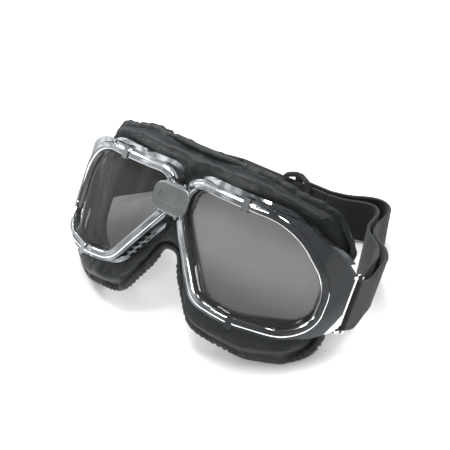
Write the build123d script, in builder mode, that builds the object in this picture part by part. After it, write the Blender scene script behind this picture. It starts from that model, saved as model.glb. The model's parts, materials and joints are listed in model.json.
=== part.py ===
"""Folding aviator goggles: two hinged eye frames on a bridge, leather pads and an elastic strap."""
import os
from math import cos, radians, sin

from build123d import *

os.makedirs("parts", exist_ok=True)

# ---- Driving dimensions, millimetres and degrees -------------------------------------------
LEAN = 30.0                # the goggles rest leaning back by this angle
EYE_Y = -47.6              # bridge centre, in front of the middle of the whole object
EYE_Z = 64.5               # bridge centre above the table; the pads are pressed flat on it

FACE_R = 66.0              # plan radius that the rims and lenses follow
FACE_X = 16.0              # the foremost line of that curve, out from the centre of the nose

RIM_HALF = 1.8             # half the width of the rim bead
LENS_T = 1.8
SEAT_GAP = 0.1             # air between seated pieces of one frame
SHELL_T = 1.0
SHELL_DEPTH = 8.5
LIP_W = 1.3                # how far the shell's rear lip stands out of its wall

CLIP_W, CLIP_T = 2.8, 0.6
CLIP_GAP = 0.1
CLIP_LEG = 5.2             # how far a clip reaches back along the shell wall

WING_X = 76.8              # rear edge of the temple wing
WING_T = 1.2
BAR_X, BAR_Y, BAR_R = 75.4, 47.6, 1.1     # strap bar, on ears behind the wing
BAR_Z = (-31.4, -3.6)
EAR_T = 1.2

PIN_X, PIN_Y = 4.6, -1.4   # hinge pins, either side of the nose
PIN_R = 0.78
BORE_R = 0.83
KNUCKLE_R = 1.5
PLATE_W, PLATE_H, PLATE_T = 19.0, 12.5, 1.1
PLATE_BACK = -3.0
PLATE_Z = 3.7

PAD_R = 90.0               # plan radius of the cushions' front surface
PAD_Y = 7.0
PAD_T = 14.0
PAD_FRONT_T = 6.0          # the layer with the tight eye hole; behind it the cavity is wider
LINING_T = 4.0
NOSE_T = 6.6               # the leather and foam over the nose are thinner
NOSE_HALF = 5.2            # half the width of the leather over the nose
NOSE_GAP = 0.4

STRAP_W, STRAP_T = 25.0, 1.5
STRAP_Y = 96.0             # the strap's back run, behind the bridge centre
RUN_END = 26.0
SLIDER_W, SLIDER_H = 17.0, 33.0
SLIDER_RAIL = 2.0
SLIDER_DEPTH = 6.4
SLIDER_BAR_W = 3.0
SLIDER_X = 8.5
RUN_LOW = 3.3              # the strap stands this high in the slider
LOOP_LOW = -30.2           # lower edge of the strap where it turns round its bar

VENT_COUNT, VENT_PITCH, VENT_LENGTH = 5, 3.9, 2.7
VENT_MIDDLE, VENT_TURN = (15.1, -24.2), 122.0

# ---- Reference planes: everything in front leans back about the bridge centre --------------
eye = (0, EYE_Y, EYE_Z)
back, up = sin(radians(LEAN)), cos(radians(LEAN))
plan = Plane(origin=eye, x_dir=(1, 0, 0), z_dir=(0, back, up))      # looks down on the goggles
front = Plane(origin=eye, x_dir=(1, 0, 0), z_dir=(0, -up, back))    # looks at the lenses
REACH = 60.0

# The eye opening along the crest of the rim: corner points with their radii
EYE_CORNERS = [(3.6, 14.0), (54.0, 12.6), (70.2, -9.5), (69.6, -36.2), (40.0, -36.6), (24.0, -34.0), (3.4, -1.0)]
EYE_RADII = [8.5, 27, 26, 13, 30, 12, 8]

WING_CORNERS = [(44, 15.6), (56, 14.4), (71.5, 5), (WING_X, -4), (WING_X, -29.5), (70, -35.8), (46, -39.2)]
WING_RADII = [1, 18, 14, 6, 6, 12, 1]

PAD_CORNERS = [
    (0, 27.0), (30, 27.5), (62, 19.5), (70.0, 6), (69.6, -8), (69.6, -30),
    (69.5, -49), (46, -54.5), (20, -50.0), (8.5, -31), (4, -20.5), (0, -20),
]
PAD_RADII = [0.5, 40, 8, 8, 8, 8, 15, 25, 14, 12, 4, 0.5]

# The eye hole in the leather, and the wider cavity behind it
HOLE_CORNERS = [(6.8, 10.6), (52, 9.6), (64.2, -8), (64.4, -30.5), (38, -36.6), (25, -34), (6.4, -2.5)]
HOLE_RADII = [6, 24, 16, 9, 24, 9, 8]
CAVITY_CORNERS = [(4.4, 14), (53, 13), (65.6, -7), (65.6, -32), (44, -41.5), (22, -38.5), (4, -6)]
CAVITY_RADII = [6, 22, 14, 9, 24, 10, 8]


def save(piece, name):
    """Label a finished piece and write it under its own name."""
    piece.label = name
    export_step(piece, f"parts/{name}.step")


def save_pair(piece, name):
    """Write the wearer's left piece and its mirror image for the right."""
    save(piece, f"{name}_left")
    save(mirror(piece, about=Plane.YZ), f"{name}_right")


def eye_outline(grow):
    """The eye opening, grown or shrunk in the lens plane."""
    with BuildSketch() as outline:
        with BuildLine():
            FilletPolyline(*EYE_CORNERS, radius=EYE_RADII, close=True)
        make_face()
        if grow:
            offset(amount=grow, kind=Kind.ARC)
    return outline.sketch


def outline_of(corners, radii, grow=0.0):
    """A closed outline with rounded corners, grown or shrunk."""
    with BuildSketch() as outline:
        with BuildLine():
            FilletPolyline(*corners, radius=radii, close=True)
        make_face()
        if grow:
            offset(amount=grow, kind=Kind.ARC)
    return outline.sketch


def disc(x, y, radius):
    """A tall cylinder on the leaning plan, private to the caller."""
    with BuildPart(mode=Mode.PRIVATE) as solid:
        with BuildSketch(plan.offset(-REACH)):
            with Locations((x, y)):
                Circle(radius)
        extrude(amount=2 * REACH)
    return solid.part


def curved(outer, inner, outline, hole=None):
    """An outline swept front to back, kept between two radii of the face curve."""
    with BuildPart(mode=Mode.PRIVATE) as slab:
        with BuildSketch(front.offset(REACH / 2)):
            add(outline)
            if hole:
                add(hole, mode=Mode.SUBTRACT)
        extrude(amount=-(REACH / 2 + FACE_R))
        add(disc(FACE_X, FACE_R, outer), mode=Mode.INTERSECT)
        add(disc(FACE_X, FACE_R, inner), mode=Mode.SUBTRACT)
    return slab.part


def cushion(near, far, outline, hole):
    """A pad slab between two distances behind the cushions' front curve, cut flat by the table."""
    with BuildPart(mode=Mode.PRIVATE) as slab:
        with BuildSketch(front.offset(REACH / 2)):
            add(outline)
            add(hole, mode=Mode.SUBTRACT)
        extrude(amount=-(REACH / 2 + FACE_R + 20))
        add(disc(0, PAD_Y + PAD_R + near, PAD_R), mode=Mode.INTERSECT)
        add(disc(0, PAD_Y + PAD_R + far, PAD_R), mode=Mode.SUBTRACT)
        split(bisect_by=Plane.XY, keep=Keep.TOP)
    return slab.part


# ---- Frames: rim, lens, gasket and shell ----------------------------------------------------
rim_front = FACE_R + 0.3
rim_rear = FACE_R - 3.1
lens_rear = rim_rear - SEAT_GAP - LENS_T
gasket_rear = lens_rear - SEAT_GAP - 1.3
shell_inner = RIM_HALF + SEAT_GAP
shell_outer = shell_inner + SHELL_T
shell_rear = FACE_R - SHELL_DEPTH - 1.0
KNUCKLE_Z = (-1.4, 8.8)

with BuildPart() as front_rim:
    add(curved(rim_front, rim_rear, eye_outline(RIM_HALF), eye_outline(-RIM_HALF)))
    face = [f for f in front_rim.faces().filter_by(GeomType.CYLINDER) if abs(f.radius - rim_front) < 0.01]
    fillet(face[0].edges(), radius=1.2)
    with BuildSketch(plan.offset(KNUCKLE_Z[0])):
        with Locations((PIN_X, PIN_Y)):
            Circle(KNUCKLE_R)
        with Locations((PIN_X, PIN_Y + 1.4)):
            Rectangle(1.4, 2.8)
    extrude(amount=KNUCKLE_Z[1] - KNUCKLE_Z[0])
    with BuildSketch(plan.offset(KNUCKLE_Z[0])):
        with Locations((PIN_X, PIN_Y)):
            Circle(BORE_R)
    extrude(amount=KNUCKLE_Z[1] - KNUCKLE_Z[0], mode=Mode.SUBTRACT)
save_pair(front_rim.part, "front_rim")

with BuildPart() as lens:
    add(curved(rim_rear - SEAT_GAP, lens_rear, eye_outline(-0.3)))
save_pair(lens.part, "lens")

with BuildPart() as gasket:
    add(curved(lens_rear - SEAT_GAP, gasket_rear, eye_outline(RIM_HALF), eye_outline(-2.1)))
save_pair(gasket.part, "lens_gasket")

wing_front = FACE_R - 0.2
wing = outline_of(WING_CORNERS, WING_RADII)

with BuildPart() as shell:
    # side wall, rear lip, and the ledge that backs the gasket
    add(curved(FACE_R - 1.0, shell_rear, eye_outline(shell_outer), eye_outline(shell_inner)))
    add(curved(shell_rear + 1.2, shell_rear, eye_outline(shell_outer + LIP_W), eye_outline(shell_inner)))
    add(curved(gasket_rear - SEAT_GAP, gasket_rear - 1.1, eye_outline(shell_outer), eye_outline(-2.1)))
    # temple wing with its turned-back hem
    add(curved(wing_front, wing_front - WING_T, wing, eye_outline(shell_inner)))
    hem = outline_of(WING_CORNERS, WING_RADII, -1.0)
    with BuildPart(mode=Mode.PRIVATE) as rolled:
        add(curved(wing_front, wing_front - 3.6, wing, hem))
        add(curved(wing_front + 1, wing_front - 4.6, eye_outline(shell_inner)), mode=Mode.SUBTRACT)
        with BuildSketch(plan.offset(-REACH)):
            with Locations((WING_X + 8, BAR_Y)):
                Rectangle(22, 40)
        extrude(amount=2 * REACH, mode=Mode.SUBTRACT)
    add(rolled.part)
    # two ears behind the wing that hold the strap bar
    for level in (BAR_Z[0], BAR_Z[1] - EAR_T):
        with BuildSketch(plan.offset(level)):
            with Locations((BAR_X, BAR_Y)):
                Circle(2.3)
            with Locations((BAR_X - 0.2, BAR_Y - 4.0)):
                Rectangle(2.6, 8.0)
        extrude(amount=EAR_T)
        with BuildSketch(plan.offset(level)):
            with Locations((BAR_X, BAR_Y)):
                Circle(BAR_R)
        extrude(amount=EAR_T, mode=Mode.SUBTRACT)
    # vents through the wall along the side that faces the nose
    with BuildSketch(front.offset(-3.4)):
        with Locations(Location((*VENT_MIDDLE, 0), (0, 0, VENT_TURN))):
            with GridLocations(VENT_PITCH, 1, VENT_COUNT, 1):
                Rectangle(VENT_LENGTH, 2.4)
    extrude(amount=-4.0, mode=Mode.SUBTRACT)
    # the nose side is open so that the two frames can fold, and the back clears the leather there
    with BuildSketch(plan.offset(-16)):
        with Locations((0, 9)):
            Rectangle(6.6, 26)
        with Locations((0, 14)):
            Rectangle(2 * NOSE_HALF + 0.8, 12)
    extrude(amount=REACH, mode=Mode.SUBTRACT)
    # toward the temple the shell ends in front of the cushion
    with BuildPart(mode=Mode.PRIVATE) as behind_temple:
        add(disc(0, PAD_Y + PAD_R, PAD_R + 0.3))
        with BuildSketch(plan.offset(-REACH)):
            with Locations((0, PAD_R)):
                Rectangle(80, 3 * PAD_R)
        extrude(amount=2 * REACH, mode=Mode.SUBTRACT)
    add(behind_temple.part, mode=Mode.SUBTRACT)
save_pair(shell.part, "frame_shell")

with BuildPart() as strap_bar:
    with BuildSketch(plan.offset(BAR_Z[0] - 0.6)):
        with Locations((BAR_X, BAR_Y)):
            Circle(BAR_R)
    extrude(amount=BAR_Z[1] - BAR_Z[0] + 1.2)
    fillet(strap_bar.edges().filter_by(GeomType.CIRCLE), radius=0.4)
save_pair(strap_bar.part, "strap_bar")


def rim_clip(x, crest_z, facing):
    """A small steel clip round the rim bead, hooked down both sides of it."""
    lens_leg = [crest_z - facing * (RIM_HALF + gap) for gap in (CLIP_GAP + CLIP_T, CLIP_GAP)]
    wall_leg = [crest_z + facing * (shell_outer + gap) for gap in (CLIP_GAP, CLIP_GAP + CLIP_T)]
    front_radius = rim_front + CLIP_GAP + CLIP_T
    with BuildPart() as clip:
        for inner, low, high in (
            (rim_front + CLIP_GAP, lens_leg[0], wall_leg[1]),
            (rim_rear + CLIP_GAP, *lens_leg),
            (front_radius - CLIP_LEG, *wall_leg),
        ):
            with BuildSketch() as strip:
                with Locations((x, (low + high) / 2)):
                    Rectangle(CLIP_W, abs(high - low))
            add(curved(front_radius, inner, strip.sketch))
    return clip.part


save_pair(rim_clip(33.0, 13.2, 1), "top_clip")
save_pair(rim_clip(42.0, -36.6, -1), "lower_clip")

# ---- Bridge: face plate with folded lips, two link plates and two hinge pins ----------------
plate_low, plate_high = PLATE_Z - PLATE_H / 2, PLATE_Z + PLATE_H / 2
LIP_DEPTH = 2.95
LINK_T = 0.8
with BuildPart() as bridge_plate:
    with BuildSketch(front.offset(-PLATE_BACK)):
        with Locations((0, PLATE_Z)):
            RectangleRounded(PLATE_W, PLATE_H, 4.5)
    extrude(amount=PLATE_T)
    fillet(bridge_plate.faces().sort_by(Axis(eye, front.z_dir))[-1].edges(), radius=0.5)
    with BuildSketch(front.offset(-PLATE_BACK + PLATE_T)):
        with Locations((0, PLATE_Z)):
            RectangleRounded(12.0, 5.0, 1.6)
    extrude(amount=-0.3, mode=Mode.SUBTRACT)
    for level in (plate_low, plate_high - LINK_T):
        with BuildSketch(plan.offset(level)):
            with Locations((0, PLATE_BACK + LIP_DEPTH / 2)):
                Rectangle(13.0, LIP_DEPTH)
            with Locations((-PIN_X, PIN_Y), (PIN_X, PIN_Y)):
                Circle(PIN_R, mode=Mode.SUBTRACT)
        extrude(amount=LINK_T)
save(bridge_plate.part, "bridge_plate")

for name, level in (("bridge_link_lower", plate_low - 0.1 - LINK_T), ("bridge_link_upper", plate_high + 0.1)):
    with BuildPart() as link:
        with BuildSketch(plan.offset(level)):
            with Locations((0, PIN_Y)):
                SlotCenterToCenter(2 * PIN_X, 2.7)
            with Locations((-PIN_X, PIN_Y), (PIN_X, PIN_Y)):
                Circle(PIN_R, mode=Mode.SUBTRACT)
        extrude(amount=LINK_T)
    save(link.part, name)

link_low, link_high = plate_low - 0.1 - LINK_T, plate_high + 0.1 + LINK_T
with BuildPart() as hinge_pin:
    with BuildSketch(plan.offset(link_low - 0.1)):
        with Locations((PIN_X, PIN_Y)):
            Circle(PIN_R)
    extrude(amount=link_high - link_low + 0.2)
    for level in (link_low - 0.9, link_high + 0.1):
        with BuildSketch(plan.offset(level)):
            with Locations((PIN_X, PIN_Y)):
                Circle(1.3)
        extrude(amount=0.8)
save_pair(hinge_pin.part, "hinge_pin")

# ---- Pads: leather cushions, their bound edges, foam lining and the leather over the nose ---
pad_region = outline_of(PAD_CORNERS, PAD_RADII)
eye_hole = outline_of(HOLE_CORNERS, HOLE_RADII)
cavity = outline_of(CAVITY_CORNERS, CAVITY_RADII)
with BuildPart() as nose_band:
    with BuildSketch(plan.offset(-REACH)):
        with Locations((0, 20)):
            Rectangle(2 * (NOSE_HALF + NOSE_GAP), 120)
    extrude(amount=2 * REACH)

with BuildPart() as pad:
    add(cushion(0, PAD_FRONT_T, pad_region, eye_hole))
    add(cushion(PAD_FRONT_T, PAD_T, pad_region, cavity))
    add(disc(FACE_X, FACE_R, shell_rear - SEAT_GAP), mode=Mode.INTERSECT)
    add(nose_band.part, mode=Mode.SUBTRACT)
save_pair(pad.part, "pad")

with BuildPart() as binding:
    add(cushion(3.0, 8.0, outline_of(PAD_CORNERS, PAD_RADII, 1.6), pad_region))
    add(nose_band.part, mode=Mode.SUBTRACT)
save_pair(binding.part, "pad_binding")

with BuildPart() as lining:
    face_region = outline_of(PAD_CORNERS, PAD_RADII, -2.0)
    add(cushion(PAD_T + SEAT_GAP, PAD_T + LINING_T, face_region, cavity))
    # the lining stops short of the nose, above and below
    with BuildSketch(front.offset(REACH / 2)):
        Polygon((-REACH, -60), (22, -60), (15, -26), (15, 14), (10, 40), (-REACH, 40), align=None)
    extrude(amount=-2 * REACH, mode=Mode.SUBTRACT)
save_pair(lining.part, "face_lining")

nose_rear = PAD_Y + 3.2 + NOSE_T
with BuildPart() as pad_nose:
    with BuildSketch(plan.offset(-19.5)):
        with BuildLine():
            ThreePointArc((-NOSE_HALF, PAD_Y + 3.2), (0, PAD_Y + 2.4), (NOSE_HALF, PAD_Y + 3.2))
            Line((NOSE_HALF, PAD_Y + 3.2), (NOSE_HALF, nose_rear))
            ThreePointArc((NOSE_HALF, nose_rear), (0, nose_rear - 0.8), (-NOSE_HALF, nose_rear))
            Line((-NOSE_HALF, nose_rear), (-NOSE_HALF, PAD_Y + 3.2))
        make_face()
    extrude(amount=46.5)
save(pad_nose.part, "pad_nose")

# ---- Strap: a doubled loop to the left wing, a single run to the right, and the slider ------
# Stations along a band: x, y behind the bridge, height of the band's middle, lean in degrees
OUTER_STATIONS = [
    (RUN_END, STRAP_Y + 3.2, 15.8, 0), (35, 103.0, 15.0, 0), (44, 109.6, 14.0, 0), (50.5, 111.8, 13.2, 0),
    (55.6, 108.6, 12.8, 2), (57.4, 102, 13.0, 4), (57.4, 93, 13.4, 6), (59.2, 84, 14.6, 10), (64.4, 76, 16.0, 18),
    (71.4, 68.4, 18.0, 25), (76.2, 60, 20.0, 30), (77.6, 50.5, 21.5, 31), (77.6, 41.1, 20.4, 30),
    (77.5, 32.6, 25.4, 30),
]
INNER_STATIONS = [
    (RUN_END, STRAP_Y, 15.8, 0), (35, 98.6, 15.0, 0), (43, 103.6, 14.0, 0), (49, 105, 13.4, 0),
    (52.8, 101.5, 13.2, 2), (53.8, 95, 13.4, 4), (54.4, 88, 14.0, 7), (57.2, 80.6, 15.2, 13), (62.8, 73.4, 17.0, 20),
    (68.2, 66.8, 18.6, 26), (71.8, 58.6, 20.2, 31), (73.2, 50, 21.6, 31), (73.3, 41.1, 20.4, 30),
    (73.3, 32.6, 25.4, 30),
]
SINGLE_STATIONS = [
    (-RUN_END, STRAP_Y, 15.8, 0), (-37, 94.6, 15.0, 0), (-48, 91.0, 14.0, 0), (-58, 85.4, 13.4, 2),
    (-66, 77.5, 13.8, 6), (-72, 67.5, 15.4, 14), (-75.8, 57.5, 18.0, 24), (-77.2, 49, 20.0, 30), (-77.5, 41.1, 20.4, 30),
    (-77.5, 32.6, 25.4, 30),
]


def band(stations):
    """A strap lofted through upright or leaning cross-sections that follow its run."""
    middles = [Vector(x, y + EYE_Y, z) for x, y, z, lean in stations]
    with BuildPart() as strap:
        for index, (x, y, z, lean) in enumerate(stations):
            ahead = middles[min(index + 1, len(middles) - 1)] - middles[max(index - 1, 0)]
            if index == 0:
                ahead = Vector(x, 0, 0)
            across = Vector(0, sin(radians(lean)), cos(radians(lean)))
            heading = (ahead - across * ahead.dot(across)).normalized()
            with BuildSketch(Plane(origin=middles[index], x_dir=across, z_dir=heading)):
                Rectangle(STRAP_W, STRAP_T)
        loft(ruled=True)
    return strap.part


save(band(OUTER_STATIONS), "strap_outer_left")
save(band(INNER_STATIONS), "strap_inner_left")
save(band(SINGLE_STATIONS), "strap_side_right")

with BuildPart() as strap_back:
    with BuildSketch(Plane.XY.offset(RUN_LOW)):
        with Locations((0, EYE_Y + STRAP_Y)):
            Rectangle(2 * RUN_END, STRAP_T)
    extrude(amount=STRAP_W)
save(strap_back.part, "strap_back")

# The sewn loop that closes each strap end round its bar
loop_r = BAR_R + 0.25
with BuildPart() as strap_loop:
    with BuildSketch(plan.offset(LOOP_LOW)):
        with Locations((BAR_X, BAR_Y)):
            Circle(loop_r + STRAP_T)
            Circle(loop_r, mode=Mode.SUBTRACT)
        with Locations((BAR_X, BAR_Y + 3)):
            Rectangle(8, 6, mode=Mode.SUBTRACT)
    extrude(amount=STRAP_W)
save_pair(strap_loop.part, "strap_loop")

# The slider: two outer bars in front of the strap, the middle bar behind it, joined by rails
run_y = EYE_Y + STRAP_Y
with BuildPart() as slider:
    with BuildSketch() as rails:
        with Locations((SLIDER_X, run_y)):
            RectangleRounded(SLIDER_W, SLIDER_DEPTH, 2.4)
    extrude(amount=SLIDER_RAIL)
    with BuildSketch(Plane.XY.offset(SLIDER_H - SLIDER_RAIL)):
        with Locations((SLIDER_X, run_y)):
            RectangleRounded(SLIDER_W, SLIDER_DEPTH, 2.4)
    extrude(amount=SLIDER_RAIL)
    with BuildSketch():
        with Locations((SLIDER_X - SLIDER_W / 2 + 2.4, run_y - 2.1), (SLIDER_X + SLIDER_W / 2 - 2.4, run_y - 2.1)):
            Rectangle(SLIDER_BAR_W, 1.6)
        with Locations((SLIDER_X, run_y + 2.2)):
            Rectangle(SLIDER_BAR_W, 1.4)
    extrude(amount=SLIDER_H)
save(slider.part, "strap_slider")

with BuildPart() as strap_tail:
    with BuildSketch(Plane.XY.offset(RUN_LOW)):
        with Locations(((SLIDER_X + 1.6 + RUN_END - 0.2) / 2, run_y + 3.2)):
            Rectangle(RUN_END - 0.2 - SLIDER_X - 1.6, STRAP_T)
    extrude(amount=STRAP_W)
save(strap_tail.part, "strap_tail")
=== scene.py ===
"""Looks for the folding aviator goggles: leather pads, webbing, chrome, smoked lenses and the studio."""
import json
from math import atan2, cos, hypot, pi, radians, sin, sqrt

import bmesh
import bpy
import numpy as np
from mathutils import Matrix, Vector, noise


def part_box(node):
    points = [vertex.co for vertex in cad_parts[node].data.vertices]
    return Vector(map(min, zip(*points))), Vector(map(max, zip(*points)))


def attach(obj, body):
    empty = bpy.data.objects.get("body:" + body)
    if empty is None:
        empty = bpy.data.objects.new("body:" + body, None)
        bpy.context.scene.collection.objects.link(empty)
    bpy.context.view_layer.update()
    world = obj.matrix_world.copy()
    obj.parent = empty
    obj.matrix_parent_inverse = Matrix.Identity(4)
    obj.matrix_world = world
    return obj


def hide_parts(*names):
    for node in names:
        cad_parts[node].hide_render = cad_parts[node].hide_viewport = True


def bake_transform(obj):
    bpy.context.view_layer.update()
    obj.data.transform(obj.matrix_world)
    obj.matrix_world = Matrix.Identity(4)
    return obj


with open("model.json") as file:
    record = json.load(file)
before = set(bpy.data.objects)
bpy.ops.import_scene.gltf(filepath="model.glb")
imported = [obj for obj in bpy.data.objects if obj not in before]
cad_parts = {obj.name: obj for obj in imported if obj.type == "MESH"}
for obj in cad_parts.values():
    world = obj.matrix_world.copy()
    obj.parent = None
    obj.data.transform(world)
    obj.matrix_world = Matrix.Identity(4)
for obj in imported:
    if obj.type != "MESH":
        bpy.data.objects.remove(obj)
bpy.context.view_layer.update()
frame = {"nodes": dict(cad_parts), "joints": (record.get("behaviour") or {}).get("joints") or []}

MM = 0.001
nodes = frame["nodes"]

# ---- The goggles' own directions: they lean back about the bridge centre -------------------
hinge = next(j for j in frame["joints"] if j["name"] == "hinge_left")
WIDE = Vector((1, 0, 0))
RISE = Vector(hinge["axis"]).normalized()
BACK = RISE.cross(WIDE)
PIN_X, PIN_Y = 4.6, -1.4
EYE = Vector(hinge["pos_m"]) - WIDE * (PIN_X * MM) - BACK * (PIN_Y * MM)


def place(x, y, z):
    """A point given across, behind and above the bridge centre, in millimetres."""
    return EYE + WIDE * (x * MM) + BACK * (y * MM) + RISE * (z * MM)


# ---- Small helpers ---------------------------------------------------------------------------
def make(name, points, faces, material):
    """A smooth mesh piece in metres with one material."""
    mesh = bpy.data.meshes.new(name)
    mesh.from_pydata([tuple(p) for p in points], [], faces)
    mesh.update()
    mesh.polygons.foreach_set("use_smooth", [True] * len(mesh.polygons))
    mesh.materials.append(material)
    piece = bpy.data.objects.new(name, mesh)
    bpy.context.scene.collection.objects.link(piece)
    return piece


def apply_modifiers(piece):
    """Replace the mesh by its evaluated copy and drop the modifiers."""
    graph = bpy.context.evaluated_depsgraph_get()
    mesh = bpy.data.meshes.new_from_object(piece.evaluated_get(graph))
    piece.modifiers.clear()
    piece.data = mesh


def rounded(corners, radii, steps=7):
    """The points of a closed outline with rounded corners."""
    points = []
    count = len(corners)
    for i, (corner, radius) in enumerate(zip(corners, radii)):
        here = Vector(corner)
        before = (Vector(corners[i - 1]) - here).normalized()
        after = (Vector(corners[(i + 1) % count]) - here).normalized()
        half = before.angle(after) / 2
        run = radius / max(sin(half), 1e-6) * cos(half)
        centre = here + (before + after).normalized() * (radius / sin(half))
        first, last = here + before * run - centre, here + after * run - centre
        turn = first.angle_signed(last)
        for k in range(steps + 1):
            angle = -turn * k / steps
            points.append(centre + Vector((
                first.x * cos(angle) - first.y * sin(angle),
                first.x * sin(angle) + first.y * cos(angle))))
    return points


def reach(loop, middle, angle):
    """How far a closed outline lies from a middle point in one direction."""
    ray = Vector((cos(angle), sin(angle)))
    best = 0.0
    for i, a in enumerate(loop):
        side = loop[(i + 1) % len(loop)] - a
        cross = ray.x * side.y - ray.y * side.x
        if abs(cross) < 1e-9:
            continue
        to = a - middle
        far = (to.x * side.y - to.y * side.x) / cross
        along = (to.x * ray.y - to.y * ray.x) / cross
        if far > best and -1e-6 <= along <= 1 + 1e-6:
            best = far
    return best


def spaced(loop, count, closed=False):
    """Points spaced evenly along an outline."""
    points = list(loop) + ([loop[0]] if closed else [])
    lengths = [0.0]
    for a, b in zip(points, points[1:]):
        lengths.append(lengths[-1] + (b - a).length)
    result, at = [], 0
    for k in range(count + (0 if closed else 1)):
        want = lengths[-1] * k / count
        while at < len(points) - 2 and lengths[at + 1] < want:
            at += 1
        share = (want - lengths[at]) / max(lengths[at + 1] - lengths[at], 1e-9)
        result.append(points[at].lerp(points[at + 1], share))
    return result


def gaps_outside(places, loop):
    """How far each (across, up) point lies outside a closed outline, negative inside it."""
    at = np.asarray(places, float).reshape(-1, 1, 2)
    a = np.array([tuple(p) for p in loop], float)
    b = np.roll(a, -1, axis=0)
    side = b - a
    share = np.clip(((at - a) * side).sum(2) / np.maximum((side ** 2).sum(1), 1e-12), 0, 1)
    near = np.sqrt((((a + side * share[..., None]) - at) ** 2).sum(2)).min(1)
    crosses = (a[:, 1] > at[..., 1]) != (b[:, 1] > at[..., 1])
    rise = np.where(np.abs(side[:, 1]) < 1e-12, 1e-12, side[:, 1])
    inside = (crosses & (at[..., 0] < a[:, 0] + side[:, 0] * (at[..., 1] - a[:, 1]) / rise)).sum(1) % 2 == 1
    return np.where(inside, -near, near)


def local(piece):
    """Every vertex of a piece as across, behind and above the bridge centre, in millimetres."""
    co = np.zeros(len(piece.data.vertices) * 3)
    piece.data.vertices.foreach_get("co", co)
    off = (co.reshape(-1, 3) - np.array(EYE)) / MM
    return off @ np.array([WIDE, BACK, RISE]).T


def smooth(low, high, value):
    """0 below low, 1 above high, and an even change between."""
    share = max(0.0, min(1.0, (value - low) / (high - low)))
    return share * share * (3 - 2 * share)


# ---- Materials -------------------------------------------------------------------------------
class Shader:
    """A principled material with shorthand for its texture nodes."""

    def __init__(self, name, **values):
        self.material = bpy.data.materials.new(name)
        self.material.use_nodes = True
        self.tree = self.material.node_tree
        self.body = self.tree.nodes["Principled BSDF"]
        for key, value in values.items():
            self.body.inputs[key.replace("_", " ")].default_value = value

    def node(self, kind, links=(), **settings):
        made = self.tree.nodes.new(kind)
        for key, value in settings.items():
            setattr(made, key, value)
        for socket, source in dict(links).items():
            if isinstance(source, bpy.types.NodeSocket):
                self.tree.links.new(source, made.inputs[socket])
            else:
                made.inputs[socket].default_value = source
        return made

    def place(self, stretch=(1, 1, 1), turn=(0, 0, 0)):
        """Object coordinates in metres, stretched and turned."""
        at = self.node("ShaderNodeTexCoord").outputs["Object"]
        links = {"Vector": at, "Rotation": turn, "Scale": stretch}
        return self.node("ShaderNodeMapping", links).outputs["Vector"]

    def noise(self, size, detail=3.0, rough=0.5, at=None):
        """Noise with features of about this size in metres."""
        links = {"Vector": at or self.place(), "Scale": 1 / size, "Detail": detail, "Roughness": rough}
        return self.node("ShaderNodeTexNoise", links).outputs["Fac"]

    def cells(self, size, at=None, feature="DISTANCE_TO_EDGE"):
        links = {"Vector": at or self.place(), "Scale": 1 / size}
        return self.node("ShaderNodeTexVoronoi", links, feature=feature).outputs["Distance"]

    def remap(self, value, low, high, to_low=0.0, to_high=1.0):
        links = {"Value": value, "From Min": low, "From Max": high, "To Min": to_low, "To Max": to_high}
        return self.node("ShaderNodeMapRange", links).outputs["Result"]

    def math(self, operation, a, b=0.0):
        return self.node("ShaderNodeMath", {0: a, 1: b}, operation=operation).outputs[0]

    def attribute(self, name):
        return self.node("ShaderNodeAttribute", attribute_name=name).outputs["Fac"]

    def colour(self, value, dark, light):
        """Mixes two colours by a value and feeds the base colour."""
        mix = self.node("ShaderNodeMix", data_type="RGBA")
        self.tree.links.new(value, mix.inputs["Factor"])
        mix.inputs["A"].default_value = (*dark, 1)
        mix.inputs["B"].default_value = (*light, 1)
        self.tree.links.new(mix.outputs["Result"], self.body.inputs["Base Color"])
        return mix.outputs["Result"]

    def roughness(self, value, low, high):
        self.tree.links.new(self.remap(value, 0.3, 0.7, low, high), self.body.inputs["Roughness"])

    def bump(self, height, depth, strength=1.0, after=None):
        """Raises the surface by a height; depth is in metres."""
        links = {"Height": height, "Distance": depth, "Strength": strength}
        if after:
            links["Normal"] = after
        made = self.node("ShaderNodeBump", links)
        self.tree.links.new(made.outputs["Normal"], self.body.inputs["Normal"])
        return made.outputs["Normal"]


def chrome_material(name, tint, low, high, wave):
    made = Shader(name, Metallic=1.0)
    smudge = made.noise(0.012, 4)
    made.colour(smudge, [c * 0.93 for c in tint], tint)
    made.roughness(smudge, low, high)
    first = made.bump(made.noise(0.009, 1, 0.4), wave, 0.5)
    hair = made.noise(0.0006, 2, 0.6, made.place((0.25, 1, 1), (0.3, 0.5, 0.2)))
    made.bump(hair, 0.000002, 0.35, first)
    return made.material


CHROME = chrome_material("chrome_plating", (0.93, 0.94, 0.945), 0.02, 0.06, 0.00003)
STEEL = chrome_material("pin_steel", (0.80, 0.81, 0.82), 0.08, 0.16, 0.00004)


def plate_material():
    made = Shader("brushed_plate", Metallic=1.0)
    grain = made.noise(0.0011, 5, 0.65, made.place((0.03, 1, 1)))
    blotch = made.noise(0.006, 3)
    made.colour(grain, (0.25, 0.27, 0.26), (0.46, 0.48, 0.465))
    made.roughness(blotch, 0.30, 0.46)
    made.bump(grain, 0.00003, 0.8)
    return made.material


def lens_material():
    made = Shader("smoked_lens", Roughness=0.02, Alpha=0.62, IOR=1.5)
    haze = made.noise(0.02, 3)
    made.colour(haze, (0.026, 0.027, 0.024), (0.040, 0.040, 0.036))
    made.roughness(haze, 0.015, 0.05)
    return made.material


def rubber_material(name, dark, light, size):
    made = Shader(name)
    speck = made.noise(size, 4, 0.6)
    made.colour(speck, dark, light)
    made.roughness(speck, 0.55, 0.75)
    made.body.inputs["Specular IOR Level"].default_value = 0.3
    made.bump(speck, 0.00006, 0.6)
    return made.material


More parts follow.
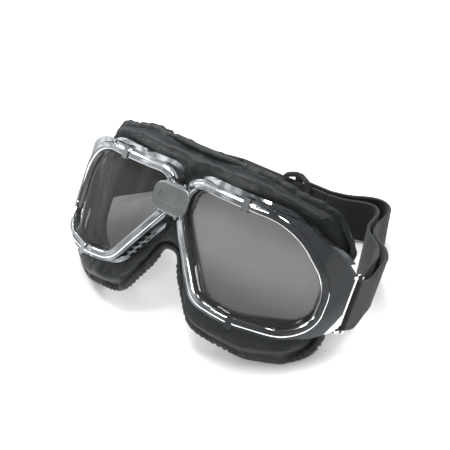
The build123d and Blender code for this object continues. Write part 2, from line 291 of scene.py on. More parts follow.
def leather_material(name, dark, light, shine):
    made = Shader(name)
    made.body.inputs["Specular IOR Level"].default_value = shine
    grain = made.cells(0.0011)
    fine = made.noise(0.0005, 4, 0.6)
    patch = made.noise(0.014, 4, 0.6)
    crease = made.cells(0.006, made.place((1, 1, 0.45)))
    made.colour(patch, dark, light)
    made.roughness(patch, 0.34, 0.54)
    height = made.math("MINIMUM", grain, 0.16)
    first = made.bump(made.math("MINIMUM", crease, 0.05), 0.0011, 0.35)
    second = made.bump(height, 0.00075, 0.75, first)
    made.bump(fine, 0.00008, 0.5, second)
    return made.material


def webbing_material():
    made = Shader("elastic_webbing")
    run, side = made.attribute("run"), made.attribute("side")
    rib = made.math("SINE", made.math("MULTIPLY", side, 2 * pi / 1.25))
    row = made.math("SINE", made.math("MULTIPLY", run, 2 * pi / 0.95))
    weave = made.math("MAXIMUM", rib, made.math("MULTIPLY", row, 0.8))
    fuzz = made.noise(0.0004, 4, 0.7)
    hem = made.remap(made.math("ABSOLUTE", side), 11.4, 12.2)
    made.colour(made.math("ADD", made.math("MULTIPLY", fuzz, 0.5), made.math("MULTIPLY", hem, 0.8)),
                (0.0075, 0.0090, 0.0095), (0.030, 0.033, 0.034))
    made.roughness(fuzz, 0.72, 0.92)
    made.body.inputs["Specular IOR Level"].default_value = 0.22
    made.body.inputs["Sheen Weight"].default_value = 0.12
    made.body.inputs["Sheen Roughness"].default_value = 0.45
    first = made.bump(weave, 0.00014, 0.55)
    made.bump(fuzz, 0.0002, 0.6, first)
    return made.material


def thread_material(name, dark, light):
    made = Shader(name)
    twist = made.noise(0.0003, 3, 0.6)
    made.colour(twist, dark, light)
    made.roughness(twist, 0.6, 0.85)
    made.bump(twist, 0.00008, 0.7)
    return made.material


def fleece_material():
    made = Shader("face_lining")
    tuft = made.noise(0.0009, 5, 0.7)
    patch = made.noise(0.009, 3)
    made.colour(patch, (0.012, 0.012, 0.013), (0.030, 0.031, 0.032))
    made.roughness(tuft, 0.85, 1.0)
    made.body.inputs["Sheen Weight"].default_value = 0.10
    made.body.inputs["Sheen Roughness"].default_value = 0.5
    made.bump(tuft, 0.0003, 0.6)
    return made.material


PLATE = plate_material()
LENS = lens_material()
GASKET = rubber_material("lens_gasket", (0.010, 0.010, 0.011), (0.022, 0.022, 0.023), 0.0012)
SLIDER = rubber_material("slider_coating", (0.010, 0.010, 0.011), (0.026, 0.026, 0.028), 0.0008)
LEATHER = leather_material("pad_leather", (0.0062, 0.0078, 0.0086), (0.0140, 0.0175, 0.0190), 0.50)
WEBBING = webbing_material()
THREAD = thread_material("stitching", (0.013, 0.014, 0.014), (0.045, 0.047, 0.048))
LINING = fleece_material()

for name, node in nodes.items():
    group = node.material_slots[0].material.name.split(".")[0]
    finish = {"chrome": CHROME, "plate": PLATE, "pin": STEEL, "lens": LENS, "gasket": GASKET,
              "slider": SLIDER}.get(group)
    if finish:
        node.material_slots[0].material = finish

# ---- Outlines, in the lens plane, millimetres ------------------------------------------------
EYE_CORNERS = [
    (3.6, 14.0), (54.0, 12.6), (70.2, -9.5), (69.6, -36.2), (40.0, -36.6), (24.0, -34.0), (3.4, -1.0),
]
EYE_RADII = [8.5, 27, 26, 13, 30, 12, 8]
HOLE_CORNERS = [(4.1, 10.8), (52, 9.6), (64.2, -8), (64.4, -30.5), (38, -36.6), (25, -34), (3.8, -3.2)]
HOLE_RADII = [6, 24, 16, 9, 24, 9, 8]
CAVITY_CORNERS = [(2.6, 14), (53, 13), (65.6, -7), (65.6, -32), (44, -41.5), (22, -38.5), (2.4, -6)]
CAVITY_RADII = [6, 22, 14, 9, 24, 10, 8]
PAD_CORNERS = [
    (0, 27.0), (30, 27.5), (62, 19.5), (70.0, 6), (69.6, -8), (69.6, -30),
    (69.5, -49), (46, -54.5), (20, -50.0), (8.5, -31), (4, -20.5), (0, -20),
]
PAD_RADII = [0.01, 40, 8, 8, 8, 8, 15, 25, 14, 12, 4, 0.01]
EYE_MIDDLE = Vector((36.0, -12.0))
FACE_R, FACE_X = 66.0, 16.0
LIP_REACH = 4.4            # the shell's rear lip covers the leather this far round the eye
PAD_R, PAD_Y, PAD_T = 90.0, 7.0, 14.0
NOSE_T = 6.8               # the leather and foam over the nose end this far behind the cushions' front
NASAL_SIDE = (3.22, 1.0)   # direction of the nose from an eye's middle, and its spread, in radians
NOSE_TOP = 25.4            # the leather over the nose runs between these heights
NOSE_LOW = -18.2

eye_loop = rounded(EYE_CORNERS, EYE_RADII)
hole_loop = rounded(HOLE_CORNERS, HOLE_RADII)
cavity_loop = rounded(CAVITY_CORNERS, CAVITY_RADII)
pad_loop = rounded(PAD_CORNERS, PAD_RADII)


def slab_front(x):
    """Front of the foam behind the bridge centre, before the leather is stretched over it."""
    return PAD_Y + PAD_R - sqrt(PAD_R ** 2 - min(abs(x), 80) ** 2)


def base_front(x):
    """Front of the leather where a shell presses on it, and over the nose."""
    if x < 5.6:
        return 9.8 + 0.03 * x * x
    across = min(abs(x - FACE_X), 54)
    return max(slab_front(x) + 0.6, FACE_R - sqrt((FACE_R - 9.8) ** 2 - across ** 2))


FRONT_STEPS, BACK_STEPS = 16, 9
ROLL_R = 1.9
ROLL_DEPTH = 4.6           # the rolled edge's centre stands this far behind the cushions' front
HOLE_WALL = 1.5            # depth of the leather's edge at the eye hole, before the cavity widens
GATHER = 0.8
NOSE_ROUND = 3.0           # keeps the leather's front rounded where the halves meet
ROLL_TURNS = [120, 95, 70, 45, 20, -5, -30, -58, -88]


def depth_at(angle):
    """How deep the cushion is in one direction from the eye's middle: thin beside the nose."""
    nasal = abs((angle % (2 * pi)) - NASAL_SIDE[0])
    return NOSE_T + (PAD_T - NOSE_T) * smooth(NASAL_SIDE[1] - 0.2, NASAL_SIDE[1] + 0.25, nasal)


def pucker(run):
    """How the gathered edge swells and shrinks along its run in millimetres."""
    slow = 0.22 * sin(run * 0.95) + 0.20 * sin(run * 1.63 + 1.1 * sin(run * 0.21))
    return slow + 0.12 * sin(run * 2.9 + 0.6)


def pad_mesh():
    """One cushion and its half of the nose, to be mirrored into one closed leather form, with a sunk seam and
    a gathered rolled edge.
    """
    outer = spaced(pad_loop, 900, closed=True)
    first = min(range(len(outer)), key=lambda i: (outer[i] - Vector((0, 27))).length)
    outer = outer[first:] + outer[:first]
    last = min(range(len(outer)), key=lambda i: (outer[i] - Vector((0, -20))).length)
    arc = spaced(outer[:last + 1], 170)
    arc[0], arc[-1] = Vector((0, 27)), Vector((0, -20))
    whole = arc + [Vector((-p.x, p.y)) for p in reversed(arc[1:-1])]
    columns, run = [], 0.0
    for i, edge in enumerate(arc):
        ahead = arc[min(i + 1, len(arc) - 1)] - arc[max(i - 1, 0)]
        out = Vector((-ahead.y, ahead.x)).normalized()
        if i in (0, len(arc) - 1):
            out = Vector((0, 1 if i == 0 else -1))
        run += (edge - arc[max(i - 1, 0)]).length
        columns.append((edge, out, run))
    side = [Vector((0, NOSE_LOW + (NOSE_TOP - NOSE_LOW) * k / 18)) for k in range(1, 18)]
    points, grid = [], []

    def add(flat, y):
        points.append(place(max(flat.x, 0.0), y, flat.y))
        return len(points) - 1

    for k in range(len(columns) + len(side)):
        on_arc = k < len(columns)
        if on_arc:
            edge, out, run = columns[k]
            seam = edge - out * 1.6
        else:
            seam = side[k - len(columns)]
        away = seam - EYE_MIDDLE
        angle = atan2(away.y, away.x)
        ray = Vector((cos(angle), sin(angle)))
        hole = EYE_MIDDLE + ray * reach(hole_loop, EYE_MIDDLE, angle)
        cavity = EYE_MIDDLE + ray * min(reach(cavity_loop, EYE_MIDDLE, angle), away.length - 0.8)
        column = []
        thick = depth_at(angle)
        # front: out from the hole, under the shell's lip, over the crown and down to the seam
        steps = [hole.lerp(seam, s / FRONT_STEPS) for s in range(FRONT_STEPS + 1)]
        clear = gaps_outside([(hypot(p.x, NOSE_ROUND), p.y) for p in steps], eye_loop) - LIP_REACH
        left = -gaps_outside([tuple(p) for p in steps], whole) - 1.6
        for s, flat in enumerate(steps):
            width = max(clear[s], 0) + max(left[s], 0)
            share = max(clear[s], 0) / max(width, 0.01)
            crown = min(3.2, 0.38 * width) * sin(pi * min(share, 1) ** 1.3) ** 0.7
            y = base_front(flat.x) + smooth(0.7, 1.0, share) * 2.3 - crown
            if s == 0:
                y += 1.0
            column.append(add(flat, y))
        front = column
        roll, wall = [], []
        if on_arc:
            centre = edge - out * 0.4
            depth = slab_front(edge.x) + ROLL_DEPTH
            gather = GATHER * (0.3 + 0.7 * smooth(-28, -8, edge.y))
            for turn in ROLL_TURNS:
                size = ROLL_R + pucker(run) * gather
                where = centre + out * (size * cos(radians(turn)))
                roll.append(add(where, depth - size * sin(radians(turn))))
            for inset, share in ((1.9, 0.2), (1.2, 0.6), (1.7, 1.0)):
                wall.append(add(edge - out * inset, slab_front(edge.x) + 6.9 + (thick - 7.9) * share))
        rear = []
        rim = edge - out * 3.6 if on_arc else seam
        for s in range(BACK_STEPS + 1):
            flat = rim.lerp(cavity, s / BACK_STEPS)
            swell = 0.9 * sin(pi * s / BACK_STEPS)
            rear.append(add(flat, slab_front(flat.x) + thick + swell))
        inner = []
        front_y = base_front(hole.x) + 1.0
        wall_y = front_y + HOLE_WALL
        rear_y = slab_front(cavity.x) + thick
        for share in (0.25, 0.65):
            inner.append(add(cavity.lerp(hole, share * 0.9), rear_y + (wall_y - rear_y) * share))
        inner.append(add(hole + (cavity - hole) * 0.06, wall_y))
        inner.append(add(hole, front_y + HOLE_WALL * 0.4))
        grid.append({"front": front, "roll": roll, "wall": wall, "rear": rear, "inner": inner})
    faces = []
    for here, there in zip(grid, grid[1:] + grid[:1]):
        if here["roll"] and there["roll"]:
            strips = [[sum((column[part] for part in ("front", "roll", "wall", "rear", "inner")), [])
                       + column["front"][:1] for column in (here, there)]]
        else:
            strips = [(here["front"], there["front"]),
                      (here["rear"] + here["inner"] + here["front"][:1],
                       there["rear"] + there["inner"] + there["front"][:1])]
        for a, b in strips:
            for i in range(len(a) - 1):
                faces.append((a[i], a[i + 1], b[i + 1], b[i]))
    return points, faces


def mirrored(points, faces):
    """A half together with its mirror image, their points along the middle still separate until welded."""
    both = [Vector(p) for p in points] + [Vector((-p.x, p.y, p.z)) for p in points]
    count = len(points)
    flipped = [tuple(count + i for i in reversed(f)) for f in faces]
    return both, list(faces) + flipped


def weld(piece, gap=0.00002):
    shape = bmesh.new()
    shape.from_mesh(piece.data)
    bmesh.ops.remove_doubles(shape, verts=shape.verts, dist=gap)
    bmesh.ops.recalc_face_normals(shape, faces=shape.faces)
    shape.to_mesh(piece.data)
    shape.free()


def flatten_on_table(piece, above=0.0):
    """Whatever would sink below the table spreads flat on it."""
    for v in piece.data.vertices:
        if v.co.z < above:
            v.co.z = above


def puff(piece, holds, pressure, cap):
    """Let the leather swell as cloth between its seams, and limit how far it goes."""
    rest = [v.co.copy() for v in piece.data.vertices]
    group = piece.vertex_groups.new(name="held")
    for index, weight in enumerate(holds):
        group.add([index], weight, "REPLACE")
    cloth = piece.modifiers.new("Cloth", "CLOTH")
    cloth.settings.quality = 6
    cloth.settings.mass = 0.08
    cloth.settings.tension_stiffness = 12
    cloth.settings.compression_stiffness = 6
    cloth.settings.shear_stiffness = 5
    cloth.settings.bending_stiffness = 0.6
    cloth.settings.use_pressure = True
    cloth.settings.uniform_pressure_force = pressure
    cloth.settings.shrink_min = -0.012
    cloth.settings.effector_weights.gravity = 0
    cloth.settings.vertex_group_mass = "held"
    cloth.point_cache.frame_start, cloth.point_cache.frame_end = 1, 20
    scene = bpy.context.scene
    for number in range(1, 21):
        scene.frame_set(number)
    apply_modifiers(piece)
    scene.frame_set(1)
    for v, start in zip(piece.data.vertices, rest):
        move = v.co - start
        if move.length > cap:
            v.co = start + move * (cap / move.length)


def halves(piece, names):
    """Cut a whole piece down the middle, each half keeping the whole one's smooth shading at the cut."""
    made = []
    for name, side in names:
        mesh = piece.data.copy()
        shape = bmesh.new()
        shape.from_mesh(mesh)
        everything = shape.verts[:] + shape.edges[:] + shape.faces[:]
        bmesh.ops.bisect_plane(shape, geom=everything, plane_co=(0, 0, 0), plane_no=(-side, 0, 0),
                               clear_outer=True, dist=1e-7)
        shape.to_mesh(mesh)
        shape.free()
        mesh.update()
        normals = [v.normal.copy() for v in mesh.vertices]
        for v in mesh.vertices:
            if abs(v.co.x) < 1e-6:
                flat = Vector((0, normals[v.index].y, normals[v.index].z))
                if flat.length > 0.1:
                    normals[v.index] = flat.normalized()
        mesh.normals_split_custom_set_from_vertices([tuple(n) for n in normals])
        half = bpy.data.objects.new(name, mesh)
        bpy.context.scene.collection.objects.link(half)
        made.append(half)
    bpy.data.objects.remove(piece)
    return made


def subdivided(piece, levels=1):
    step = piece.modifiers.new("Subdivide", "SUBSURF")
    step.levels = step.render_levels = levels
    apply_modifiers(piece)


def tube(path, radius, sides=6, closed=False, taper=False):
    """Points and faces of a round tube along a path of points in metres."""
    points, faces = [], []
    count = len(path)
    last = None
    for i, here in enumerate(path):
        ahead = path[(i + 1) % count] if closed or i < count - 1 else here
        behind = path[i - 1] if closed or i else here
        along = (ahead - behind).normalized()
        across = last if last else along.orthogonal()
        across = (across - along * across.dot(along)).normalized()
        last = across
        other = along.cross(across)
        size = radius * (0.55 if taper and i in (0, count - 1) else 1)
        for k in range(sides):
            angle = 2 * pi * k / sides
            points.append(here + across * (size * cos(angle)) + other * (size * sin(angle)))
    for i in range(count if closed else count - 1):
        for k in range(sides):
            a, b = i * sides + k, i * sides + (k + 1) % sides
            c, d = (i + 1) % count * sides + k, (i + 1) % count * sides + (k + 1) % sides
            faces.append((a, b, d, c))
    if not closed:
        faces.append(tuple(reversed(range(sides))))
        faces.append(tuple(range((count - 1) * sides, count * sides)))
    return points, faces


def gathered(parts):
    """Several point and face lists as one."""
    points, faces = [], []
    for more, shapes in parts:
        start = len(points)
        points += more
        faces += [tuple(i + start for i in f) for f in shapes]
    return points, faces


# ---- Leather pads ----------------------------------------------------------------------------
half_points, half_faces = pad_mesh()
all_points, all_faces = mirrored(half_points, half_faces)
pads = make("pads", all_points, all_faces, LEATHER)
weld(pads)
at = local(pads)
gap = gaps_outside(np.stack([np.abs(at[:, 0]), at[:, 2]], 1), eye_loop)
behind_slab = [y - slab_front(x) for x, y, z in at]
held = [1.0 if g < LIP_REACH or b > 9 else max(0.12, 1 - smooth(4, 16, abs(x)))
        for g, b, x in zip(gap, behind_slab, at[:, 0])]
puff(pads, held, 4.0, 0.8 * MM)
subdivided(pads)
at = local(pads)
gap = gaps_outside(np.stack([np.abs(at[:, 0]), at[:, 2]], 1), eye_loop)
normals = [v.normal.copy() for v in pads.data.vertices]
for v, normal, (x, y, z), g in zip(pads.data.vertices, normals, at, gap):
    fold = noise.noise(Vector((abs(x) * 0.10, z * 0.16, 3)))
    fold += 0.5 * noise.noise(Vector((abs(x) * 0.3, z * 0.42, 9)))
    v.co += normal * (0.5 * MM * fold * smooth(LIP_REACH, LIP_REACH + 2.5, g))
flatten_on_table(pads)
for half, side in zip(halves(pads, [("pad_leather_left", 1), ("pad_leather_right", -1)]),
                      ("left", "right")):
    way = 1 if side == "left" else -1
    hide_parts(f"pad_{side}", f"pad_binding_{side}", *(["pad_nose"] if side == "left" else []))
    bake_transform(half)

# ---- Soft lining against the face ------------------------------------------------------------
# its section: share of the way across it, and how far it stands behind the cushions' front
LINING_SECTION = ((0, 13.4), (-0.04, 15.6), (0.14, 17.2), (0.5, 17.8), (0.86, 17.0), (1.04, 15.4), (1, 13.4))
for side, way in (("left", 1), ("right", -1)):
    points, faces, rings = [], [], []
    first, last = NASAL_SIDE[0] + NASAL_SIDE[1] - 2 * pi + 0.25, NASAL_SIDE[0] - NASAL_SIDE[1] - 0.25
    for i in range(111):
        angle = last + (first - last) * i / 110
        ray = Vector((cos(angle), sin(angle)))
        far = reach(pad_loop, EYE_MIDDLE, angle) - 4.4
        near = reach(cavity_loop, EYE_MIDDLE, angle) + 1.2
        far = max(far, near + 1.2)
        end = smooth(0, 7, min(i, 110 - i))
        ring = []
        for share, behind in LINING_SECTION:
            flat = EYE_MIDDLE + ray * (near + (far - near) * (0.5 + (share - 0.5) * (0.25 + 0.75 * end)))
            flat.x = max(flat.x, 2.8)
            ruffle = 0.25 * sin(i * 1.31 + 2.2 * sin(i * 0.37))
            where = place(flat.x, slab_front(flat.x) + 12.6 + (behind - 12.6 + ruffle) * end, flat.y)
            where.z = max(where.z, 0.0003)
            ring.append(len(points))
            points.append(Vector((way * where.x, where.y, where.z)))
        rings.append(ring)
    for a, b in zip(rings, rings[1:]):
        for k in range(len(a) - 1):
            quad = (a[k], b[k], b[k + 1], a[k + 1])
            faces.append(quad if way > 0 else tuple(reversed(quad)))
    lining = make(f"lining_{side}", points, faces, LINING)
    subdivided(lining)
    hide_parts(f"face_lining_{side}")
    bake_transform(lining)


# ---- Stitches over the raw leather edges -----------------------------------------------------
def edge_stitches(loop, first, last, pitch, lift, way):
    """Thread loops wrapped over a leather edge that follows an outline."""
    points = spaced(loop, 400, closed=True)
    length = sum((b - a).length for a, b in zip(points, points[1:] + points[:1]))
    count = int(length / pitch)
    parts = []
    for i, here in enumerate(spaced(points, count, closed=True)):
        away = here - EYE_MIDDLE
        if not first <= atan2(away.y, away.x) <= last:
            continue
        parts.append(lift(here, away.normalized(), way, i))
    return gathered(parts)


def hole_stitch(here, out, way, i):
    """One thread wrapped round the inner edge, leaning a little."""
    tilt = 0.35 if i % 2 else -0.35
    turn = Vector((-out.y, out.x)) * tilt
    path = []
    for inset, rise in ((2.3, -1.25), (1.2, -1.15), (0.2, -0.75), (-0.5, 0.2), (-0.6, 1.3), (0.3, 2.2)):
        flat = here + out * inset + turn * inset
        where = place(flat.x, base_front(flat.x) + 1.0 + rise, flat.y)
        path.append(Vector((way * where.x, where.y, where.z)))
    return tube(path, 0.24 * MM, 5, taper=True)


def low_stitch(here, out, way, i):
    """One overlock thread round the lower rolled edge."""
    tilt = 0.3 if i % 2 else -0.3
    turn = Vector((-out.y, out.x)) * tilt
    path = []
    for angle in (150, 115, 80, 45, 10, -25, -60):
        size = ROLL_R + 0.12
        flat = here + out * (-0.4 + size * cos(radians(angle))) + turn * cos(radians(angle)) * 2
        where = place(flat.x, slab_front(here.x) + ROLL_DEPTH - size * sin(radians(angle)), flat.y)
        where.z = max(where.z, 0.0004)
        path.append(Vector((way * where.x, where.y, where.z)))
    return tube(path, 0.22 * MM, 5, taper=True)


for side, way in (("left", 1), ("right", -1)):
    for name, loop, first, last, pitch, lift in (
        ("hole_stitching", hole_loop, -pi, pi, 1.35, hole_stitch),
        ("edge_stitching", pad_loop, -2.75, -0.62, 1.3, low_stitch),
    ):
        points, faces = edge_stitches(loop, first, last, pitch, lift, way)
        piece = make(f"{name}_{side}", points, faces, THREAD)
        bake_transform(piece)

# ---- Straps ----------------------------------------------------------------------------------
STRAP_W, STRAP_T = 25.0, 1.5
STRAP_Y, RUN_END, RUN_MIDDLE = 96.0, 26.0, 15.8
DOUBLED = 3.2              # the strap's outer layer lies this far behind the inner one
BAR_X, BAR_Y, TURN_R = 75.4, 47.6, 2.1
# stations: x, y behind the bridge centre, height of the middle, lean in degrees
OUTER_STATIONS = [
    (RUN_END, STRAP_Y + DOUBLED, RUN_MIDDLE, 0), (35, 103.0, 15.0, 0), (44, 109.6, 14.0, 0),
    (50.5, 111.8, 13.2, 0), (55.6, 108.6, 12.8, 2), (57.4, 102, 13.0, 4), (57.4, 93, 13.4, 6),
    (59.2, 84, 14.6, 10),
    (64.4, 76, 16.0, 18), (71.4, 68.4, 18.0, 25), (76.2, 60, 20.0, 30), (77.6, 50.5, 21.5, 31),
    (77.6, 41.1, 20.4, 30), (77.5, 32.6, 25.4, 30),
]
INNER_STATIONS = [
    (RUN_END, STRAP_Y, RUN_MIDDLE, 0), (35, 98.6, 15.0, 0), (43, 103.6, 14.0, 0), (49, 105, 13.4, 0),
    (52.8, 101.5, 13.2, 2), (53.8, 95, 13.4, 4), (54.4, 88, 14.0, 7), (57.2, 80.6, 15.2, 13),
    (62.8, 73.4, 17.0, 20), (68.2, 66.8, 18.6, 26), (71.8, 58.6, 20.2, 31), (73.2, 50, 21.6, 31),
    (73.3, 41.1, 20.4, 30), (73.3, 32.6, 25.4, 30),
]
SINGLE_STATIONS = [
    (-RUN_END, STRAP_Y, RUN_MIDDLE, 0), (-37, 94.6, 15.0, 0), (-48, 91.0, 14.0, 0), (-58, 85.4, 13.4, 2),
    (-66, 77.5, 13.8, 6), (-72, 67.5, 15.4, 14), (-75.8, 57.5, 18.0, 24), (-77.2, 49, 20.0, 30),
    (-77.5, 41.1, 20.4, 30), (-77.5, 32.6, 25.4, 30),
]


def station(x, y, z, lean):
    """The middle of a band at a station, in metres, and the direction across its width."""
    return Vector((x * MM, y * MM + EYE.y, z * MM)), Vector((0, sin(radians(lean)), cos(radians(lean))))


def between(stations, steps):
    """A smooth run through the stations."""
    made = [station(*s) for s in stations]
    result = []
    for i in range(len(made) - 1):
        p = [made[max(0, min(len(made) - 1, i + k))] for k in (-1, 0, 1, 2)]
        for k in range(steps):
            t = k / steps
            before, here, there, after = (middle for middle, across in p)
            slope = (there - before) * t
            bend = (2 * before - 5 * here + 4 * there - after) * t * t
            twist = (3 * here - before - 3 * there + after) * t ** 3
            point = 0.5 * (2 * here + slope + bend + twist)
            result.append((point, p[1][1].lerp(p[2][1], t).normalized()))
    result.append(made[-1])
    return result


def webbing(name, run):
    """A woven band along a run of middles and width directions, with beaded edges."""
    half_w, half_t = STRAP_W / 2, STRAP_T / 2
    section = [(-half_w, 0), (-half_w + 0.25, 0.78 * half_t), (-half_w + 0.8, 1.0 * half_t)]
    section += [(-half_w + 1.5, 0.8 * half_t)]
    section += [(s * 2.2, (0.86 + 0.04 * (s % 2)) * half_t) for s in range(-4, 5)]
    section += [(-x, t) for x, t in reversed(section[1:4])] + [(half_w, 0)]
    section += [(x, -t) for x, t in reversed(section[1:-1])]
    points, runs, sides, faces = [], [], [], []
    gone = 0.0
    for i, (middle, across) in enumerate(run):
        ahead = run[min(i + 1, len(run) - 1)][0] - run[max(i - 1, 0)][0]
        heading = (ahead - across * ahead.dot(across)).normalized()
        face = heading.cross(across)
        gone += (middle - run[max(i - 1, 0)][0]).length / MM
        for w, t in section:
            points.append(middle + across * (w * MM) + face * (t * MM))
            runs.append(gone)
            sides.append(w)
    count = len(section)
    for i in range(len(run) - 1):
        for k in range(count):
            a, b = i * count + k, i * count + (k + 1) % count
            faces.append((a, b, b + count, a + count))
    faces.append(tuple(range(count)))
    faces.append(tuple(reversed(range((len(run) - 1) * count, len(run) * count))))
    piece = make(name, points, faces, WEBBING)
    for key, values in (("run", runs), ("side", sides)):
        piece.data.attributes.new(key, "FLOAT", "POINT").data.foreach_set("value", values)
    weld(piece, 1e-7)
    return piece


def turn_round_bar(way, start, end):
    """The strap's half turn round its bar, between two plan angles in degrees."""
    level = -17.7
    result = []
    for k in range(13):
        angle = radians(start + (end - start) * k / 12)
        at = place(BAR_X + TURN_R * cos(angle), BAR_Y - TURN_R * sin(angle), level)
        result.append((Vector((way * at.x, at.y, at.z)), RISE.copy()))
    return result


left_run = between(OUTER_STATIONS, 6) + turn_round_bar(1, 8, 172) + list(reversed(between(INNER_STATIONS, 6)))
strap_left = webbing("strap_left", left_run)
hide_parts("strap_outer_left", "strap_inner_left", "strap_loop_left")
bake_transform(strap_left)

right_run = between(SINGLE_STATIONS, 6) + turn_round_bar(-1, 8, 172)
strap_right = webbing("strap_right", right_run)
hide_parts("strap_side_right", "strap_loop_right")
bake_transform(strap_right)

back_run = [station(RUN_END * (1 - k / 16), STRAP_Y, RUN_MIDDLE, 0) for k in range(33)]
strap_back = webbing("strap_run", back_run)
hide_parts("strap_back")
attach(strap_back, "bridge")

tail_low, tail_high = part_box("strap_tail")
tail_long = tail_high.x - tail_low.x
tail_run = [station(tail_low.x / MM + tail_long / MM * k / 12, STRAP_Y + DOUBLED, RUN_MIDDLE, 0)
            for k in range(13)]
strap_tail = webbing("strap_end", tail_run)
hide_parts("strap_tail")
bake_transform(strap_tail)

# ---- Slider ----------------------------------------------------------------------------------
low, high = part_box("strap_slider")
WIRE = 1.45 * MM
SLIDER_CORNER = 2.8 * MM


def wire_loop(left, right, depth_left, depth_right):
    """A closed wire loop, standing, whose two uprights lie at their own depths."""
    path = []
    bottom, top = low.z + WIRE, high.z - WIRE
    for cx, cz, start in (
        (right - SLIDER_CORNER, top - SLIDER_CORNER, 0),
        (left + SLIDER_CORNER, top - SLIDER_CORNER, 90),
        (left + SLIDER_CORNER, bottom + SLIDER_CORNER, 180),
        (right - SLIDER_CORNER, bottom + SLIDER_CORNER, 270),
    ):
        for k in range(9):
            angle = radians(start + 90 * k / 8)
            x = cx + SLIDER_CORNER * cos(angle)
            share = smooth(left, right, x)
            y = depth_left + (depth_right - depth_left) * share
            path.append(Vector((x, y, cz + SLIDER_CORNER * sin(angle))))
    return tube(path, WIRE, 12, closed=True)


front_y, rear_y = low.y + WIRE, high.y - WIRE
middle = low.x * 0.54 + high.x * 0.46
points, faces = gathered([
    wire_loop(low.x + WIRE, middle + WIRE * 0.6, front_y, rear_y),
    wire_loop(middle - WIRE * 0.6, high.x - WIRE, rear_y, front_y),
])
slider = make("slider_buckle", points, faces, SLIDER)
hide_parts("strap_slider")
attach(slider, "slider")

# ---- Studio ----------------------------------------------------------------------------------
scene = bpy.context.scene
scene.view_settings.view_transform = "Standard"


def panel(name, width, height, middle, toward):
    """A flat studio sheet."""
    along = (Vector(toward) - Vector(middle)).normalized()
    turn = along.to_track_quat("Z", "Y")
    corners = [turn @ Vector((x * width / 2, y * height / 2, 0)) + Vector(middle)
               for x, y in ((-1, -1), (1, -1), (1, 1), (-1, 1))]
    mesh = bpy.data.meshes.new(name)
    mesh.from_pydata(corners, [], [(0, 1, 2, 3)])
    sheet = bpy.data.objects.new(name, mesh)
    scene.collection.objects.link(sheet)
    return sheet


floor_made = Shader("floor")
tone = floor_made.noise(0.35, 2)
floor_made.colour(tone, (0.90, 0.90, 0.90), (0.92, 0.92, 0.92))
floor_made.roughness(tone, 0.75, 0.85)
floor_made.body.inputs["Specular IOR Level"].default_value = 0.1
floor = panel("floor", 8, 8, (0, 0, 0), (0, 0, 1))
floor.data.materials.append(floor_made.material)

# A grey tent that only reflections see, open overhead: its colour is painted light and shade for the
# reflections, lighter on the wearer's right and darker on the left
card = Shader("tent_painted_reflection", Roughness=1.0)
tent_at = card.node("ShaderNodeTexCoord").outputs["Object"]
across = card.node("ShaderNodeSeparateXYZ", {0: tent_at}).outputs["X"]
# painted fold shade, and painted bright and dark bands for the chrome to reflect
painted_fold_shade = card.noise(0.30, 2)
painted_reflection_bands = card.noise(0.11, 1, 0.4, card.place((1, 1, 0.25)))
# painted side light: the tent's colour runs lighter towards the wearer's right (-x) and dark to the left, and
# the chrome reflects this painted tone
shade = card.remap(card.math("ADD", across, card.math("MULTIPLY", painted_fold_shade, -0.35)), 0.0, -0.62)
painted_reflection_tone = card.math("MULTIPLY", shade, card.remap(painted_reflection_bands, 0.38, 0.62, 0.30, 1.0))
card.colour(painted_reflection_tone, (0.022, 0.024, 0.026), (0.48, 0.50, 0.52))
TENT = ((0.125, 0.002), (0.60, 0.003), (0.62, 0.45), (0.50, 0.85), (0.20, 1.10))
points, faces = [], []
for k in range(48):
    for radius, level in TENT:
        points.append(Vector((radius * cos(2 * pi * k / 48), radius * sin(2 * pi * k / 48), level)))
    for row in range(len(TENT) - 1):
        a, b = k * len(TENT) + row, (k + 1) % 48 * len(TENT) + row
        faces.append((a, b, b + 1, a + 1))
tent_mesh = bpy.data.meshes.new("tent")
tent_mesh.from_pydata(points, [], faces)
tent_mesh.materials.append(card.material)
tent = bpy.data.objects.new("tent", tent_mesh)
scene.collection.objects.link(tent)
tent.visible_camera = tent.visible_diffuse = tent.visible_shadow = tent.visible_transmission = False

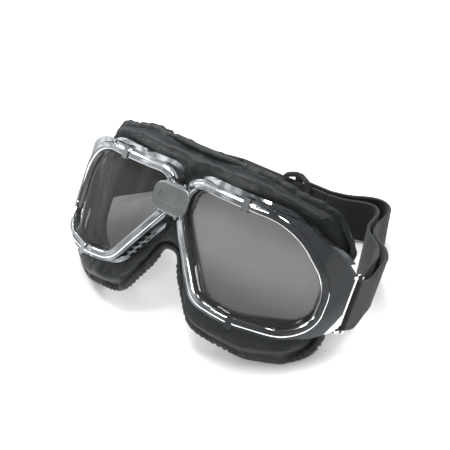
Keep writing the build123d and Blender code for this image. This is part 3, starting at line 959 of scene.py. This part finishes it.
world = bpy.data.worlds.new("studio")
scene.world = world
world.use_nodes = True
sky = world.node_tree
back_node = sky.nodes["Background"]
ramp = sky.nodes.new("ShaderNodeValToRGB")
split = sky.nodes.new("ShaderNodeSeparateXYZ")
coord = sky.nodes.new("ShaderNodeTexCoord")
sky.links.new(coord.outputs["Generated"], split.inputs[0])
sky.links.new(split.outputs["Z"], ramp.inputs["Fac"])
sky.links.new(ramp.outputs["Color"], back_node.inputs["Color"])
ramp.color_ramp.elements[0].color = (0.95, 0.95, 0.95, 1)
ramp.color_ramp.elements[0].position = 0.02
ramp.color_ramp.elements[1].color = (0.85, 0.86, 0.87, 1)
ramp.color_ramp.elements[1].position = 0.55
back_node.inputs["Strength"].default_value = 1.0


def softbox(name, width, height, power, middle, toward=(0, 0, 0.03)):
    light = bpy.data.lights.new(name, "AREA")
    light.shape, light.size, light.size_y, light.energy = "RECTANGLE", width, height, power
    lamp = bpy.data.objects.new(name, light)
    lamp.location = middle
    lamp.rotation_mode = "QUATERNION"
    lamp.rotation_quaternion = (Vector(middle) - Vector(toward)).to_track_quat("Z", "Y")
    scene.collection.objects.link(lamp)


softbox("key", 0.42, 0.30, 7, (-0.10, -0.12, 0.98))
softbox("rear", 0.30, 0.12, 2.2, (0.30, 0.42, 0.62))
softbox("side", 0.10, 0.34, 1.5, (-0.50, 0.02, 0.42))
softbox("front", 0.16, 0.10, 1.0, (0.20, -0.52, 0.40))

# ---- Camera ----------------------------------------------------------------------------------
AZIMUTH, ELEVATION, DISTANCE = radians(37.89), radians(36.55), 0.4394
PAN, TILT = 0.0527, -0.01857      # how far the bridge stands off the middle of the view
toward_camera = Vector((sin(AZIMUTH) * cos(ELEVATION), -cos(AZIMUTH) * cos(ELEVATION), sin(ELEVATION)))
right = Vector((cos(AZIMUTH), sin(AZIMUTH), 0))
upright = toward_camera.cross(right)
behind = (toward_camera - right * PAN - upright * TILT).normalized()
right = upright.cross(behind).normalized()
upright = behind.cross(right)
camera = bpy.data.objects.new("camera", bpy.data.cameras.new("camera"))
camera.data.sensor_width, camera.data.lens = 36.0, 79.94
camera.data.clip_start, camera.data.clip_end = 0.02, 30
camera.matrix_world = Matrix.Translation(EYE + toward_camera * DISTANCE) @ Matrix(
    (right, upright, behind)).transposed().to_4x4()
scene.collection.objects.link(camera)
scene.camera = camera
